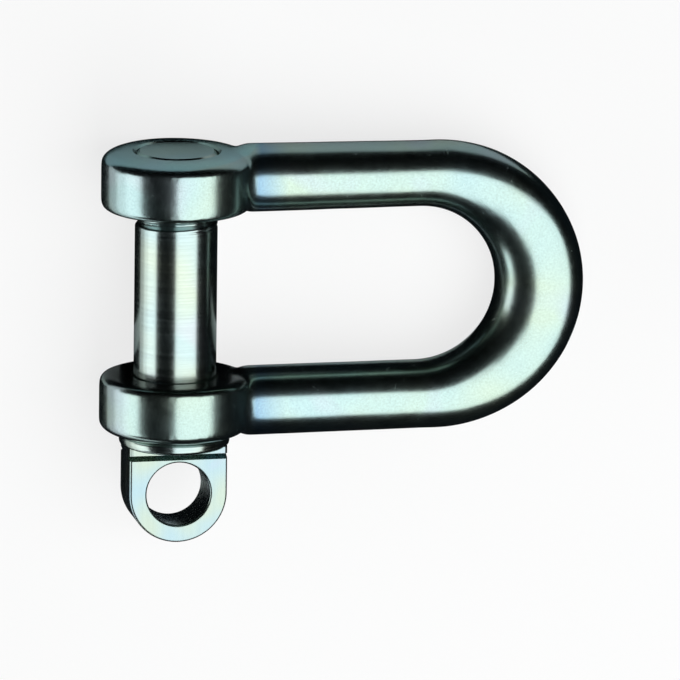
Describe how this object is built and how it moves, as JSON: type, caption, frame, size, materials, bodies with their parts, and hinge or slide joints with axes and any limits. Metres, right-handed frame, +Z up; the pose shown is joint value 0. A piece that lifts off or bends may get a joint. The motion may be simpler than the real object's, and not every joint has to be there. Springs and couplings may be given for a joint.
{
  "type": "screw pin dee shackle",
  "caption": "Forged steel dee shackle with round eyes and a screw pin that ends in a flat tab with a tightening hole, lying on its side.",
  "frame": {"origin": "on the surface the shackle lies on, under the middle of its bounding box", "axes": "+X from the pin towards the crown of the bow, +Y along the pin's axis from the tab to the threaded end, +Z up from the surface; the bow's plane dips 5.7 degrees towards the crown"},
  "size_m": [0.0942, 0.0776, 0.0293],
  "materials": {
    "bow_steel": "satin",
    "pin_steel": "satin"
  },
  "bodies": {
    "bow": {"bow": "bow_steel"},
    "pin": {"pin": "pin_steel"}
  },
  "joints": [
    {"name": "pin_slide", "type": "slide", "parent": "bow", "child": "pin", "axis": [0, -1, 0], "range_m": [0, 0.06]}
  ]
}
